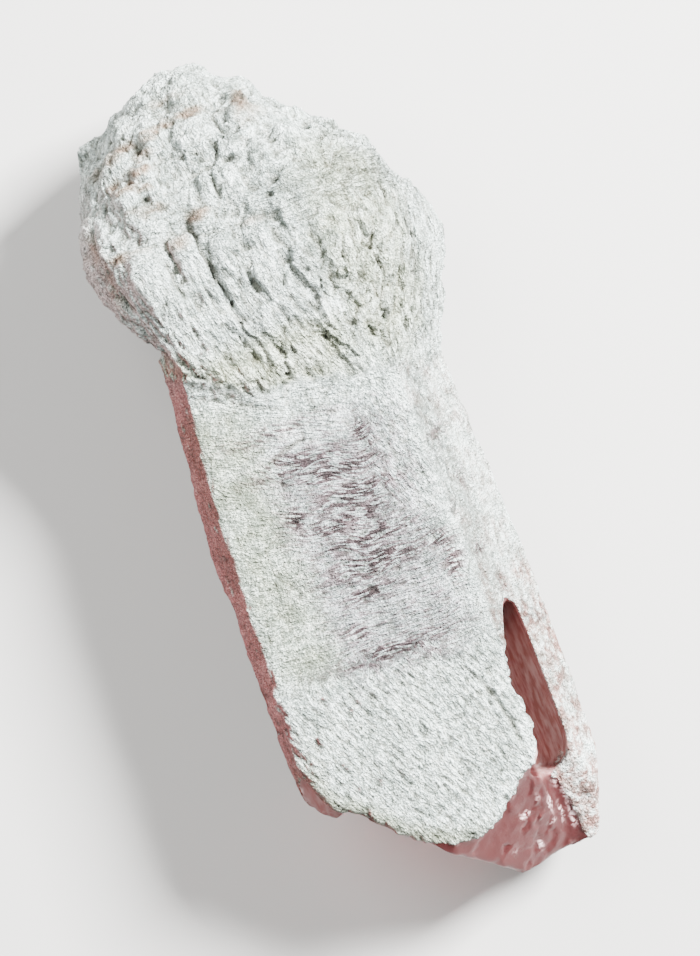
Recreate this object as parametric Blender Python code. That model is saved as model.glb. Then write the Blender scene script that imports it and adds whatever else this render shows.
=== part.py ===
"""A scepter quartz crystal lying on its side: a tabular six-sided shaft, broken off at its foot, under a wider head
of parallel-grown columns. It grew as one piece, so it is one solid.

Sizes are in millimetres and are turned into metres as vertices are made. Y runs up the crystal's long axis to the
head, X runs across its broad front face, and Z points out of that face. The crystal lies on its back at z = 0.
"""

import math
import random

import bmesh
import bpy
from mathutils import Matrix, Vector

MM = 0.001
NODE = "scepter_crystal"

# The shaft is a prism whose neighbouring faces meet at 120 degrees, as on every quartz crystal.
SHAFT_THICKNESS = 24.0
FACE_SLOPE = math.tan(math.radians(60))
# (y, left edge, left edge of the front face, right edge of the front face, right edge)
SHAFT_STATIONS = (
    (30.0, -16.2, -13.6, 9.4, 16.2),
    (20.0, -17.3, -14.9, 9.5, 16.4),
    (10.0, -18.5, -16.0, 9.6, 16.4),
    (2.0, -19.5, -16.9, 9.7, 16.6),
    (-6.0, -20.2, -17.4, 9.7, 16.6),
    (-9.5, -19.8, -17.6, 9.7, 16.8),
    (-20.0, -20.3, -18.0, 9.7, 17.4),
    (-32.0, -20.5, -18.3, 9.6, 17.2),
    (-42.0, -20.5, -18.3, 9.6, 16.8),
    (-60.0, -20.2, -18.0, 9.4, 16.2),
)

# Thin growth layers on the shaft's sides and back: the face, counted from the front face on, the outline as
# (distance across the face, y), and how far the layer stands proud.
PLATE_SECTION = SHAFT_STATIONS[6][1:]
PLATE_ROOT = 1.2
PLATES = (
    (2, ((2.0, -45.0), (1.6, -3.0), (5.4, 4.0), (10.6, -1.0), (12.6, -23.0), (9.4, -43.0)), 0.6),
    (3, ((1.6, -42.0), (2.0, -7.0), (7.0, 5.0), (13.0, 2.0), (16.6, -10.0), (14.4, -38.0)), 0.6),
    (4, ((2.2, -36.0), (1.6, -13.0), (5.6, -7.0), (12.4, -11.0), (20.4, -21.0), (19.6, -31.0)), 0.6),
)

# The head's core has the shaft's section with its corners rounded:
# (y, left, left edge of the front, right edge of the front, right, back, front)
HEAD_STATIONS = (
    (7.0, -15.2, -13.0, 9.4, 15.4, 2.0, 22.4),
    (11.0, -16.4, -14.4, 10.0, 16.8, 1.0, 24.2),
    (15.4, -16.2, -14.6, 10.8, 17.8, 0.4, 25.2),
    (18.5, -15.8, -14.4, 11.4, 19.6, 0.0, 26.0),
    (21.5, -15.8, -14.6, 11.8, 20.8, -0.4, 26.6),
    (24.6, -17.2, -15.4, 12.4, 23.2, -0.8, 27.0),
    (28.0, -20.6, -16.8, 12.4, 22.6, -1.0, 27.4),
    (31.0, -21.8, -17.6, 11.8, 20.6, -1.0, 27.4),
    (34.0, -22.6, -18.0, 11.0, 19.2, -1.0, 27.2),
    (37.0, -22.0, -17.6, 10.2, 18.2, -0.6, 26.6),
    (40.0, -21.0, -16.6, 8.4, 14.6, 0.2, 25.4),
    (43.0, -20.2, -15.4, 6.2, 12.2, 1.2, 24.0),
    (46.2, -18.9, -13.6, 3.4, 8.6, 2.8, 22.4),
    (49.2, -16.8, -11.4, 0.8, 5.4, 5.0, 20.4),
    (52.3, -10.6, -8.4, -1.0, 2.8, 7.6, 18.4),
    (54.8, -5.4, -4.8, -2.6, -1.2, 10.4, 16.4),
)
HEAD_CORNER_CUT = 0.12

# Columns that show on the front of the head: (tip x, tip y, width, length, how far the tip stands proud).
FRONT_COLUMNS = (
    (-14.9, 34.4, 7.4, 19.0, 2.8),
    (-9.3, 34.4, 3.8, 13.0, 1.7),
    (-6.1, 36.6, 3.4, 9.0, 1.2),
    (-3.6, 34.6, 2.6, 8.0, 1.2),
    (-4.7, 32.6, 3.6, 9.0, 1.9),
    (-0.5, 33.2, 3.8, 10.0, 1.6),
    (-1.4, 29.4, 5.2, 9.0, 1.7),
    (-4.0, 40.2, 2.6, 7.0, 1.2),
    (-1.2, 40.7, 3.2, 8.0, 1.4),
    (-4.2, 48.4, 7.2, 9.0, 1.8),
    (-8.5, 48.0, 3.4, 7.0, 1.3),
    (-13.4, 46.8, 4.4, 8.0, 1.2),
    (-10.8, 44.0, 3.4, 6.5, 1.6),
    (-13.8, 42.6, 4.6, 8.0, 1.6),
    (-12.6, 39.0, 5.0, 8.0, 1.4),
    (-18.2, 41.0, 4.2, 10.0, 1.2),
    (2.4, 47.4, 4.6, 9.0, 1.3),
    (3.2, 42.0, 3.4, 9.0, 1.1),
    (7.1, 42.4, 4.2, 10.0, 1.4),
    (11.0, 40.6, 3.6, 10.0, 1.2),
    (6.4, 36.6, 3.6, 12.0, 1.1),
    (10.2, 35.6, 3.6, 14.0, 1.2),
    (15.6, 36.4, 4.0, 12.0, 1.4),
    (17.2, 32.6, 4.0, 12.0, 1.6),
    (13.4, 30.0, 3.6, 14.0, 1.2),
    (8.4, 29.6, 4.0, 13.0, 1.1),
    (3.0, 29.6, 3.4, 12.0, 1.3),
    (18.6, 26.6, 6.0, 12.0, 1.5),
    (-6.4, 27.2, 3.4, 9.0, 1.0),
    (-9.8, 25.4, 3.6, 9.0, 1.2),
    (-19.8, 36.4, 4.8, 14.0, 0.9),
    (-18.9, 30.4, 4.4, 8.0, 0.6),
    (-5.0, 54.4, 4.6, 8.0, 0.5),
    (-2.2, 55.0, 4.4, 8.0, 0.5),
)
# On the front the columns lean away from this x, by no more than this angle.
LEAN_FROM_X = 9.0
LEAN_WITHIN = 5.0
LEAN_DEG = 19.0
# Where the head narrows to its tip, the columns follow its slope by this share only, and so end in steps.
TAPER_FOLLOWED = 0.35
TAPER_PROUD = 1.5
FOOT_SUNK = 0.3
# Smaller columns cover the whole head in staggered rows.
ROWS_Y = (16.6, 20.2, 24.0, 27.8, 31.6, 35.2, 38.8, 42.2, 45.4, 48.0, 50.2, 52.0, 53.6)
COLUMN_SPACING = 3.9
COLUMN_WIDTH = 4.2
COLUMN_LENGTH = 9.0
COLUMN_PROUD = 0.75
FEET_ABOVE_Y = 9.5
COLUMN_SEED = 11

# The front rind is a slab that overhangs the broken foot: its broken edge, from the left side round to the cleft.
RIND_THICKNESS = 2.4
RIND_EDGE = (
    (-17.9, -24.0),
    (-18.1, -35.6),
    (-16.4, -38.4),
    (-14.8, -38.8),
    (-12.3, -41.4),
    (-10.2, -43.7),
    (-7.4, -45.5),
    (-4.3, -47.0),
    (-1.2, -47.5),
    (1.4, -46.7),
    (3.4, -44.8),
    (5.2, -43.5),
    (6.4, -42.1),
    (8.2, -41.6),
    (9.1, -39.7),
    (9.7, -37.4),
    (9.1, -31.4),
    (9.5, -24.0),
)

# The foot broke along flat surfaces: (a point on the break, its outward normal).
FOOT_BREAKS = (
    ((-14.9, -37.5, 21.0), (-0.74, -0.66, -0.12)),
    ((-3.4, -51.2, 18.0), (-0.74, -0.65, -0.14)),
    ((3.0, -54.8, 10.0), (0.02, -0.97, -0.24)),
    ((16.9, -42.8, 12.0), (0.94, -0.32, 0.10)),
)
# A small ledge of the shaft stands out at the left corner of the foot: its outline, the height of its top, the
# lowest point of its rim, and how fast and which way its underside falls off from there.
LEDGE_OUTLINE = (
    (-20.2, -31.0),
    (-19.9, -36.0),
    (-18.8, -38.6),
    (-16.9, -40.0),
    (-15.2, -39.2),
    (-14.6, -33.0),
)
LEDGE_TOP_Z = 20.8
LEDGE_RIM = (-19.0, -39.0, 19.4)
LEDGE_SLOPE = 0.95
LEDGE_INWARD = (0.74, 0.66)

# Where the front is broken away below the rind, the break falls off from this line: (x, y, z), slope, and the
# direction in which it falls.
FRONT_BREAK_TOP = (-1.0, -47.2, 22.2)
FRONT_BREAK_SLOPE = 0.95
FRONT_BREAK_FALL = (0.59, -0.81)
FRONT_BREAK_OUTLINE = ((-30.0, -33.0), (-30.0, -70.0), (11.6, -70.0), (9.9, -44.0), (10.4, -33.0))

# A cleft runs up the front right edge from the broken foot.
CLEFT_OUTLINE = (
    (12.5, -20.6),
    (13.1, -23.0),
    (13.3, -27.0),
    (13.3, -40.5),
    (12.4, -43.0),
    (10.8, -44.0),
    (9.6, -42.6),
    (9.2, -36.0),
    (8.6, -31.0),
    (10.4, -26.0),
    (11.6, -22.6),
)
CLEFT_FLOOR_Z = 13.4
CLEFT_FLOOR_TILT = 0.35
# The cleft reaches under the rind.
UNDERCUT_OUTLINE = ((10.6, -25.0), (10.6, -44.0), (7.0, -43.0), (7.2, -29.0))
UNDERCUT_Z = (11.6, 20.4)

# The wall outside the cleft is broken lower towards the foot: its outline, and its height and slope from there down.
LIP_BREAK_OUTLINE = ((9.0, -41.0), (9.0, -60.0), (25.0, -60.0), (25.0, -41.0))
LIP_BREAK_TOP = (-41.0, 17.6)
LIP_BREAK_SLOPE = 0.5

# The crystal rests on the back of its head and on the end of its shaft, both worn flat there.
REST_TILT_DEG = 1.25
REST_WEAR = 0.75
GROUND_OUTLINE = ((-60.0, -90.0), (60.0, -90.0), (60.0, 90.0), (-60.0, 90.0))
GROUND_DEPTH = 20.0

VOXEL = 0.62
TRIANGLES = 8600
CUTTER_TOP_Z = 45.0
COAT_COLOUR = (0.78, 0.78, 0.75, 1.0)
COAT_ROUGHNESS = 0.85


def clear_scene():
    for obj in list(bpy.data.objects):
        bpy.data.objects.remove(obj)


def point(x, y, z):
    return Vector((x, y, z)) * MM


def loft(mesh, rings):
    """Joins rings of points, in order along the crystal, into one closed skin."""
    layers = [[mesh.verts.new(point(*corner)) for corner in ring] for ring in rings]
    faces = [mesh.faces.new(layers[0]), mesh.faces.new(layers[-1])]
    count = len(layers[0])
    for low, high in zip(layers, layers[1:]):
        for i in range(count):
            j = (i + 1) % count
            faces.append(mesh.faces.new((low[i], low[j], high[j], high[i])))
    bmesh.ops.recalc_face_normals(mesh, faces=faces)
    return faces


def extrude_outline(mesh, outline, floor_z, top_z):
    """A solid with this outline from above. floor_z(x, y) gives the height of its floor, top_z is a number."""
    floor = [(x, y, floor_z(x, y)) for x, y in outline]
    roof = [(x, y, top_z) for x, y in outline]
    loft(mesh, (floor, roof))


def new_object(name, mesh):
    data = bpy.data.meshes.new(name)
    mesh.to_mesh(data)
    mesh.free()
    obj = bpy.data.objects.new(name, data)
    bpy.context.scene.collection.objects.link(obj)
    return obj


def apply_modifiers(obj):
    """Replaces the object's mesh by what its modifiers make of it."""
    bpy.context.view_layer.update()
    graph = bpy.context.evaluated_depsgraph_get()
    shaped = bpy.data.meshes.new_from_object(obj.evaluated_get(graph))
    obj.modifiers.clear()
    obj.data = shaped


def cut_away(obj, cutter):
    """Takes the cutter's space out of the object, and the cutter out of the scene."""
    boolean = obj.modifiers.new("cut", "BOOLEAN")
    boolean.operation = "DIFFERENCE"
    boolean.solver = "EXACT"
    boolean.object = cutter
    apply_modifiers(obj)
    bpy.data.objects.remove(cutter)


def slice_off(obj, position, normal):
    """Cuts everything on the normal's side of a plane away, and closes the cut."""
    mesh = bmesh.new()
    mesh.from_mesh(obj.data)
    everything = [*mesh.verts, *mesh.edges, *mesh.faces]
    cut = bmesh.ops.bisect_plane(
        mesh, geom=everything, plane_co=position, plane_no=normal, clear_outer=True
    )
    rim = [item for item in cut["geom_cut"] if isinstance(item, bmesh.types.BMEdge)]
    caps = bmesh.ops.triangle_fill(mesh, edges=rim, use_beauty=True, use_dissolve=False)
    faces = [item for item in caps["geom"] if isinstance(item, bmesh.types.BMFace)]
    for face in faces:
        if face.normal.dot(normal) < 0:
            face.normal_flip()
    mesh.to_mesh(obj.data)
    mesh.free()


def prism_section(left, front_left, front_right, right, back, front):
    """The six corners of a prism's section, whose faces slope at 60 degrees on either side of front and back."""
    left_z = front - (front_left - left) * FACE_SLOPE
    right_z = front - (right - front_right) * FACE_SLOPE
    return [
        (front_left, front),
        (front_right, front),
        (right, right_z),
        (right - (right_z - back) / FACE_SLOPE, back),
        (left + (left_z - back) / FACE_SLOPE, back),
        (left, left_z),
    ]


def make_shaft():
    mesh = bmesh.new()
    rings = []
    for y, left, front_left, front_right, right in SHAFT_STATIONS:
        corners = prism_section(left, front_left, front_right, right, 0.0, SHAFT_THICKNESS)
        rings.append([(x, y, z) for x, z in corners])
    loft(mesh, rings)
    return new_object("shaft", mesh)


def front_break_z(x, y):
    """The height of the broken surface below the rind."""
    top_x, top_y, top_z = FRONT_BREAK_TOP
    fall = (x - top_x) * FRONT_BREAK_FALL[0] + (y - top_y) * FRONT_BREAK_FALL[1]
    return top_z - FRONT_BREAK_SLOPE * fall


def cleft_floor_z(x, y):
    return CLEFT_FLOOR_Z + CLEFT_FLOOR_TILT * (x - CLEFT_OUTLINE[0][0])


def lip_break_z(x, y):
    top_y, top_z = LIP_BREAK_TOP
    return top_z - LIP_BREAK_SLOPE * (top_y - y)


def break_the_foot(shaft):
    for position, normal in FOOT_BREAKS:
        slice_off(shaft, point(*position), Vector(normal).normalized())
    cutter = bmesh.new()
    extrude_outline(cutter, FRONT_BREAK_OUTLINE, front_break_z, CUTTER_TOP_Z)
    cut_away(shaft, new_object("front_break", cutter))
    cutter = bmesh.new()
    extrude_outline(cutter, LIP_BREAK_OUTLINE, lip_break_z, CUTTER_TOP_Z)
    cut_away(shaft, new_object("lip_break", cutter))


def cut_the_cleft(body):
    cutter = bmesh.new()
    extrude_outline(cutter, CLEFT_OUTLINE, cleft_floor_z, CUTTER_TOP_Z)
    cut_away(body, new_object("cleft", cutter))
    low, high = UNDERCUT_Z
    cutter = bmesh.new()
    extrude_outline(cutter, UNDERCUT_OUTLINE, lambda x, y: low, high)
    cut_away(body, new_object("undercut", cutter))


def ledge_floor_z(x, y):
    rim_x, rim_y, rim_z = LEDGE_RIM
    inward = (x - rim_x) * LEDGE_INWARD[0] + (y - rim_y) * LEDGE_INWARD[1]
    return rim_z - LEDGE_SLOPE * inward


def add_rind(mesh):
    front = SHAFT_THICKNESS
    extrude_outline(mesh, RIND_EDGE, lambda x, y: front - RIND_THICKNESS, front)
    extrude_outline(mesh, LEDGE_OUTLINE, ledge_floor_z, LEDGE_TOP_Z)


def add_plate(mesh, face, outline, proud):
    corners = prism_section(*PLATE_SECTION, 0.0, SHAFT_THICKNESS)
    start_x, start_z = corners[face]
    end_x, end_z = corners[(face + 1) % len(corners)]
    width = math.dist(corners[face], corners[(face + 1) % len(corners)])
    across_x, across_z = (end_x - start_x) / width, (end_z - start_z) / width
    rings = []
    for height in (-PLATE_ROOT, proud):
        foot_x, foot_z = start_x - across_z * height, start_z + across_x * height
        rings.append([(foot_x + across_x * u, y, foot_z + across_z * u) for u, y in outline])
    loft(mesh, rings)


def rounded(ring, share):
    """The ring with each corner replaced by two points, this share of each side away from it."""
    cut = []
    for i, corner in enumerate(ring):
        before, after = ring[i - 1], ring[(i + 1) % len(ring)]
        cut.append([c + (b - c) * share for c, b in zip(corner, before)])
        cut.append([c + (a - c) * share for c, a in zip(corner, after)])
    return cut


def head_section(y):
    """The outline of the head's core at this height, as (x, z) points."""
    for low, high in zip(HEAD_STATIONS, HEAD_STATIONS[1:]):
        if y <= high[0]:
            break
    share = min(max((y - low[0]) / (high[0] - low[0]), 0.0), 1.0)
    left, front_left, front_right, right, back, front = [
        a + (b - a) * share for a, b in zip(low[1:], high[1:])
    ]
    ring = prism_section(left, front_left, front_right, right, back, front)
    return rounded(ring, HEAD_CORNER_CUT)


def girth(ring):
    return sum(math.dist(a, b) for a, b in zip(ring, ring[1:] + ring[:1]))


def head_point(y, turn):
    """The point on the head's core at this share of the way round its section."""
    ring = head_section(y)
    left_to_go = (turn % 1.0) * girth(ring)
    for a, b in zip(ring, ring[1:] + ring[:1]):
        side = math.dist(a, b)
        if left_to_go <= side:
            break
        left_to_go -= side
    share = min(left_to_go / side, 1.0)
    return Vector((a[0] + (b[0] - a[0]) * share, y, a[1] + (b[1] - a[1]) * share))


def head_normal(y, turn):
    along = head_point(y + 1.0, turn) - head_point(y - 1.0, turn)
    around = head_point(y, turn + 0.01) - head_point(y, turn - 0.01)
    return around.cross(along).normalized()


def front_turn(x, y):
    """How far round the head's section the front of the head has this x."""
    turns = [i / 400 for i in range(-20, 160)]
    return min(turns, key=lambda turn: abs(head_point(y, turn).x - x))


def add_head_core(mesh):
    rings = []
    for station in HEAD_STATIONS:
        y = station[0]
        rings.append([(x, y, z) for x, z in head_section(y)])
    loft(mesh, rings)


def column_axis(y, turn, out):
    """The way a column points: along the surface where the head widens, nearly up the crystal where it narrows."""
    axis = (head_point(y + 1.0, turn) - head_point(y - 1.0, turn)) / 2.0
    spread = axis.x * out.x + axis.z * out.z
    if spread < 0.0:
        axis.x *= TAPER_FOLLOWED
        axis.z *= TAPER_FOLLOWED
    if out.z > 0.3:
        share = (LEAN_FROM_X - head_point(y, turn).x) / LEAN_WITHIN
        axis.x = -math.tan(math.radians(LEAN_DEG)) * min(max(share, -1.0), 1.0) * min(20.0 / y, 1.0)
    return axis.normalized()


def add_column(mesh, y, turn, width, length, proud, twist):
    """A small six-sided crystal that lies along the head, its blunt tip proud of the core and its foot sunk in it."""
    out = head_normal(y, turn)
    axis = column_axis(y, turn, out)
    length = min(length, y - FEET_ABOVE_Y)
    proud += TAPER_PROUD * max(out.y, 0.0)
    tip = head_point(y, turn) + out * (proud - width * 0.4)
    foot = tip - axis * length
    height = (foot - head_point(foot.y, turn)).dot(out)
    foot -= out * max(height + width * FOOT_SUNK, 0.0)
    axis = (tip - foot).normalized()
    side = axis.cross(out).normalized()
    lift = side.cross(axis).normalized()
    shoulder = 1.0 - 0.45 * width / length
    rings = []
    for along, wide in ((0.0, 0.8), (shoulder, 1.0), (1.0, 0.38)):
        centre = foot.lerp(tip, along)
        ring = []
        for i in range(6):
            angle = math.tau * i / 6 + twist
            spread = side * math.cos(angle) + lift * math.sin(angle)
            ring.append(centre + spread * (width / 2 * wide))
        rings.append(ring)
    loft(mesh, rings)


def add_columns(mesh):
    for x, y, width, length, proud in FRONT_COLUMNS:
        add_column(mesh, y, front_turn(x, y), width, length, proud, 0.0)
    chance = random.Random(COLUMN_SEED)
    for row, row_y in enumerate(ROWS_Y):
        count = max(round(girth(head_section(row_y)) / COLUMN_SPACING), 5)
        for i in range(count):
            turn = (i + 0.5 * (row % 2) + chance.uniform(-0.3, 0.3)) / count
            y = row_y + chance.uniform(-1.7, 1.7)
            width = COLUMN_WIDTH * chance.uniform(0.6, 1.5)
            length = COLUMN_LENGTH * chance.uniform(0.8, 1.3)
            proud = COLUMN_PROUD * chance.uniform(0.0, 1.8)
            twist = chance.uniform(0.0, math.tau / 6)
            add_column(mesh, y, turn, width, length, proud, twist)


def fuse(obj):
    """Turns overlapping solids into one skin of small faces."""
    remesh = obj.modifiers.new("fuse", "REMESH")
    remesh.mode = "VOXEL"
    remesh.voxel_size = VOXEL * MM
    apply_modifiers(obj)


def thin_out(obj):
    """Merges the small faces of flat areas until TRIANGLES are left."""
    obj.data.calc_loop_triangles()
    decimate = obj.modifiers.new("thin", "DECIMATE")
    decimate.use_collapse_triangulate = True
    decimate.ratio = TRIANGLES / len(obj.data.loop_triangles)
    apply_modifiers(obj)


def lay_down(obj):
    """Tilts the crystal until head and foot touch the ground, wears both flat, and centres it over the origin."""
    obj.data.transform(Matrix.Rotation(math.radians(REST_TILT_DEG), 4, "X"))
    lowest = min(vertex.co.z for vertex in obj.data.vertices)
    obj.data.transform(Matrix.Translation((0.0, 0.0, -lowest - REST_WEAR * MM)))
    ground = bmesh.new()
    extrude_outline(ground, GROUND_OUTLINE, lambda x, y: -GROUND_DEPTH, 0.0)
    cut_away(obj, new_object("ground", ground))
    xs = [vertex.co.x for vertex in obj.data.vertices]
    ys = [vertex.co.y for vertex in obj.data.vertices]
    middle = Vector((min(xs) + max(xs), min(ys) + max(ys), 0.0)) / 2
    obj.data.transform(Matrix.Translation(-middle))


def coat_material():
    material = bpy.data.materials.new("white_quartz_coat")
    material.use_nodes = True
    shader = material.node_tree.nodes["Principled BSDF"]
    shader.inputs["Base Color"].default_value = COAT_COLOUR
    shader.inputs["Roughness"].default_value = COAT_ROUGHNESS
    shader.inputs["Metallic"].default_value = 0.0
    return material


def make_crystal():
    shaft = make_shaft()
    break_the_foot(shaft)
    cut_the_cleft(shaft)
    skins = bmesh.new()
    skins.from_mesh(shaft.data)
    bpy.data.objects.remove(shaft)
    add_rind(skins)
    for face, outline, proud in PLATES:
        add_plate(skins, face, outline, proud)
    add_head_core(skins)
    add_columns(skins)
    crystal = new_object(NODE, skins)
    fuse(crystal)
    thin_out(crystal)
    lay_down(crystal)
    crystal.data.materials.clear()
    crystal.data.materials.append(coat_material())
    return crystal


clear_scene()
make_crystal()
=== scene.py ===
"""The looks of the scepter quartz crystal: a rough white crust over clear quartz, bare at the broken foot.

Shapes are worked out in the crystal's own frame, in millimetres: x runs across the broad front face, y from
the foot to the head, and z from the back of the shaft out of its front.
"""

import itertools
import math

import bmesh
import bpy
import numpy as np
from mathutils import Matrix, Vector

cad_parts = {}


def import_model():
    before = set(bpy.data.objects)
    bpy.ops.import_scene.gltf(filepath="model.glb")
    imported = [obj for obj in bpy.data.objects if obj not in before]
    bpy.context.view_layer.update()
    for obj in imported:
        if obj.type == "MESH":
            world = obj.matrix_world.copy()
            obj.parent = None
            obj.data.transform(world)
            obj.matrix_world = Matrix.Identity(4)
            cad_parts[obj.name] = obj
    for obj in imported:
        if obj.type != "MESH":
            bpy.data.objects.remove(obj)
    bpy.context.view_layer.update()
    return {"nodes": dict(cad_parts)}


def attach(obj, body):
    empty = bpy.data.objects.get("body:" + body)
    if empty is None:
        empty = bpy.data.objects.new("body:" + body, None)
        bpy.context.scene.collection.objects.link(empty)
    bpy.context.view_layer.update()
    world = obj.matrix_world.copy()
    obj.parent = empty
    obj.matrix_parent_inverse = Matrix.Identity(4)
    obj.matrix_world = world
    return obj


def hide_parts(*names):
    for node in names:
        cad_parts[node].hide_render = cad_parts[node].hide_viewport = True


MM = 0.001
NODE = "scepter_crystal"
PIECE = "scepter_quartz"

# How the crystal's own frame lies in the part's frame: its tilt about x, and its lift and middle in mm.
REST_TILT = math.radians(1.25)
TURN_COS, TURN_SIN = math.cos(REST_TILT), math.sin(REST_TILT)
LIFT = 0.752
MIDDLE = (0.255, -0.391)

# The skin's welding distance and voxels in mm, and how often its corners are averaged before the relief.
WELD = 0.001
VOXEL = 0.26
SOFTENING_PASSES = 8
# The skin is thinned out evenly to the first number of triangles, and to the second mostly on its back, with
# shares that rise in steps from the front round to there and pull this strongly.
TRIANGLES_FIRST = 290000
TRIANGLES = 196000
THIN_STEPS = 4
BACK_PULL = 0.5

# --------------------------------------------------------------------------------------------------
# Frames


def turned_to_crystal(x, y, z):
    """Directions of the part's frame in the crystal's own frame."""
    return np.stack((x, y * TURN_COS + z * TURN_SIN, z * TURN_COS - y * TURN_SIN), axis=1)


def to_crystal(points):
    """Points of the part's frame, in metres, in the crystal's own frame."""
    x = points[:, 0] / MM + MIDDLE[0]
    y = points[:, 1] / MM + MIDDLE[1]
    z = points[:, 2] / MM - LIFT
    return turned_to_crystal(x, y, z)


def to_part(points):
    """Points of the crystal's own frame in the part's frame, in metres, none of them below the ground."""
    x, y, z = points.T
    along = y * TURN_COS - z * TURN_SIN - MIDDLE[1]
    height = y * TURN_SIN + z * TURN_COS + LIFT
    return np.stack((x - MIDDLE[0], along, np.maximum(height, 0.0)), axis=1) * MM


def ramp(value, low, high):
    """0 below low, 1 above high and smooth between them. high may be the lower of the two."""
    t = np.clip((value - low) / (high - low), 0.0, 1.0)
    return t * t * (3.0 - 2.0 * t)


def window(value, low, high, soft):
    """1 between low and high and 0 beyond them, with edges this soft."""
    return ramp(value, low - soft, low + soft) * ramp(value, high + soft, high - soft)


# --------------------------------------------------------------------------------------------------
# Noise and cell patterns

# One direction for each of the 256 codes that a cell can have.
DIRECTIONS = np.random.default_rng(5).normal(size=(256, 3))
DIRECTIONS /= np.linalg.norm(DIRECTIONS, axis=1)[:, None]


def scramble(cell, seed):
    """A random whole number for each cell of a grid."""
    i, j, k = (cell[:, axis].astype(np.uint32) for axis in range(3))
    mixed = i * np.uint32(73856093) ^ j * np.uint32(19349663) ^ k * np.uint32(83492791)
    mixed ^= np.uint32(seed * 7919 + 11)
    for factor, shift in ((2146121005, 15), (2221713035, 16)):
        mixed ^= mixed >> np.uint32(shift)
        mixed *= np.uint32(factor)
    return mixed ^ (mixed >> np.uint32(16))


def noise(points, size, seed):
    """Smooth noise from about -1 to 1, whose lumps have this size along x, y and z."""
    scaled = points / np.asarray(size, float)
    cell = np.floor(scaled).astype(np.int64)
    part = scaled - cell
    fade = part * part * part * (part * (part * 6.0 - 15.0) + 10.0)
    total = np.zeros(len(points))
    for corner in itertools.product((0, 1), repeat=3):
        corner = np.array(corner)
        slope = DIRECTIONS[scramble(cell + corner, seed) & np.uint32(255)]
        weight = np.where(corner == 1, fade, 1.0 - fade).prod(axis=1)
        total += weight * ((part - corner) * slope).sum(axis=1)
    return total * 1.7


def rough(points, size, seed, octaves=3):
    """Noise with finer noise on it."""
    size = np.asarray(size, float)
    total = np.zeros(len(points))
    for octave in range(octaves):
        total += noise(points, size / 2.0**octave, seed + octave) / 2.0**octave
    return total


def cells(points, size, seed):
    """A pattern of grown-together cells of this size.

    Returns how far each point is from its cell's border (0 to about 1), a random number from 0 to 1 for its
    cell, and where it lies from the cell's middle, in cell sizes."""
    scaled = points / np.asarray(size, float)
    base = np.floor(scaled).astype(np.int64)
    count = len(points)
    nearest = np.full(count, 9.0)
    second = np.full(count, 9.0)
    chance = np.zeros(count)
    offset = np.zeros((count, 3))
    for step in itertools.product((-1, 0, 1), repeat=3):
        cell = base + np.array(step)
        code = scramble(cell, seed)
        jitter = np.stack([(code >> np.uint32(shift)) & np.uint32(1023) for shift in (0, 10, 20)], axis=1)
        away = scaled - cell - jitter / 1023.0
        distance = np.sqrt((away * away).sum(axis=1))
        closer = distance < nearest
        second = np.where(closer, nearest, np.minimum(second, distance))
        nearest = np.where(closer, distance, nearest)
        chance = np.where(closer, ((code >> np.uint32(7)) & np.uint32(4095)) / 4095.0, chance)
        offset = np.where(closer[:, None], away, offset)
    return second - nearest, chance, offset


# --------------------------------------------------------------------------------------------------
# The base skin


def linked(name, mesh):
    obj = bpy.data.objects.new(name, mesh)
    bpy.context.scene.collection.objects.link(obj)
    return obj


def apply_modifiers(obj):
    bpy.context.view_layer.update()
    graph = bpy.context.evaluated_depsgraph_get()
    mesh = bpy.data.meshes.new_from_object(obj.evaluated_get(graph))
    obj.modifiers.clear()
    obj.data = mesh


def even_skin(node):
    """A new object with the CAD node's shape and small even faces."""
    mesh = bmesh.new()
    mesh.from_mesh(node.data)
    bmesh.ops.remove_doubles(mesh, verts=mesh.verts, dist=WELD * MM)
    data = bpy.data.meshes.new(PIECE)
    mesh.to_mesh(data)
    mesh.free()
    piece = linked(PIECE, data)
    remesh = piece.modifiers.new("even", "REMESH")
    remesh.mode = "VOXEL"
    remesh.voxel_size = VOXEL * MM
    apply_modifiers(piece)
    return piece


def corners_of(mesh):
    points = np.empty(len(mesh.vertices) * 3, np.float32)
    mesh.vertices.foreach_get("co", points)
    return points.reshape(-1, 3).astype(float)


def normals_of(mesh):
    normals = np.empty(len(mesh.vertices) * 3, np.float32)
    mesh.vertex_normals.foreach_get("vector", normals)
    return normals.reshape(-1, 3).astype(float)


def edges_of(mesh):
    edges = np.empty(len(mesh.edges) * 2, np.int32)
    mesh.edges.foreach_get("vertices", edges)
    return edges.reshape(-1, 2)


def averaged(values, edges, passes, share=0.5):
    """Values at the corners of a mesh, drawn towards those of their neighbours."""
    count = len(values)
    ends = edges.ravel()
    others = edges[:, ::-1].ravel()
    neighbours = np.maximum(np.bincount(ends, minlength=count), 1)
    values = values.copy()
    for _ in range(passes):
        for column in values.T if values.ndim == 2 else (values,):
            around = np.bincount(ends, weights=column[others], minlength=count) / neighbours
            column += (around - column) * share
    return values


# --------------------------------------------------------------------------------------------------
# Where the head, the shaft and the break lie

# The front edge of the head, as x and y.
HEAD_EDGE = ((-20.0, 19.0), (-15.0, 17.0), (-12.5, 15.6), (-9.0, 13.6), (-6.0, 12.1), (0.0, 11.5),
             (9.0, 9.6), (17.0, 8.4), (22.0, 8.0))
HEAD_EDGE_BEHIND = 11.0
# The columns lean away from this line, less and less up the head.
FAN_X = 9.0
FAN_WITHIN = 5.0
FAN_SLOPE = math.tan(math.radians(19.0))
FAN_REACH = ((10.0, 0.0), (24.0, 11.0), (34.0, 14.5), (45.0, 15.5), (60.0, 16.0))

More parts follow.
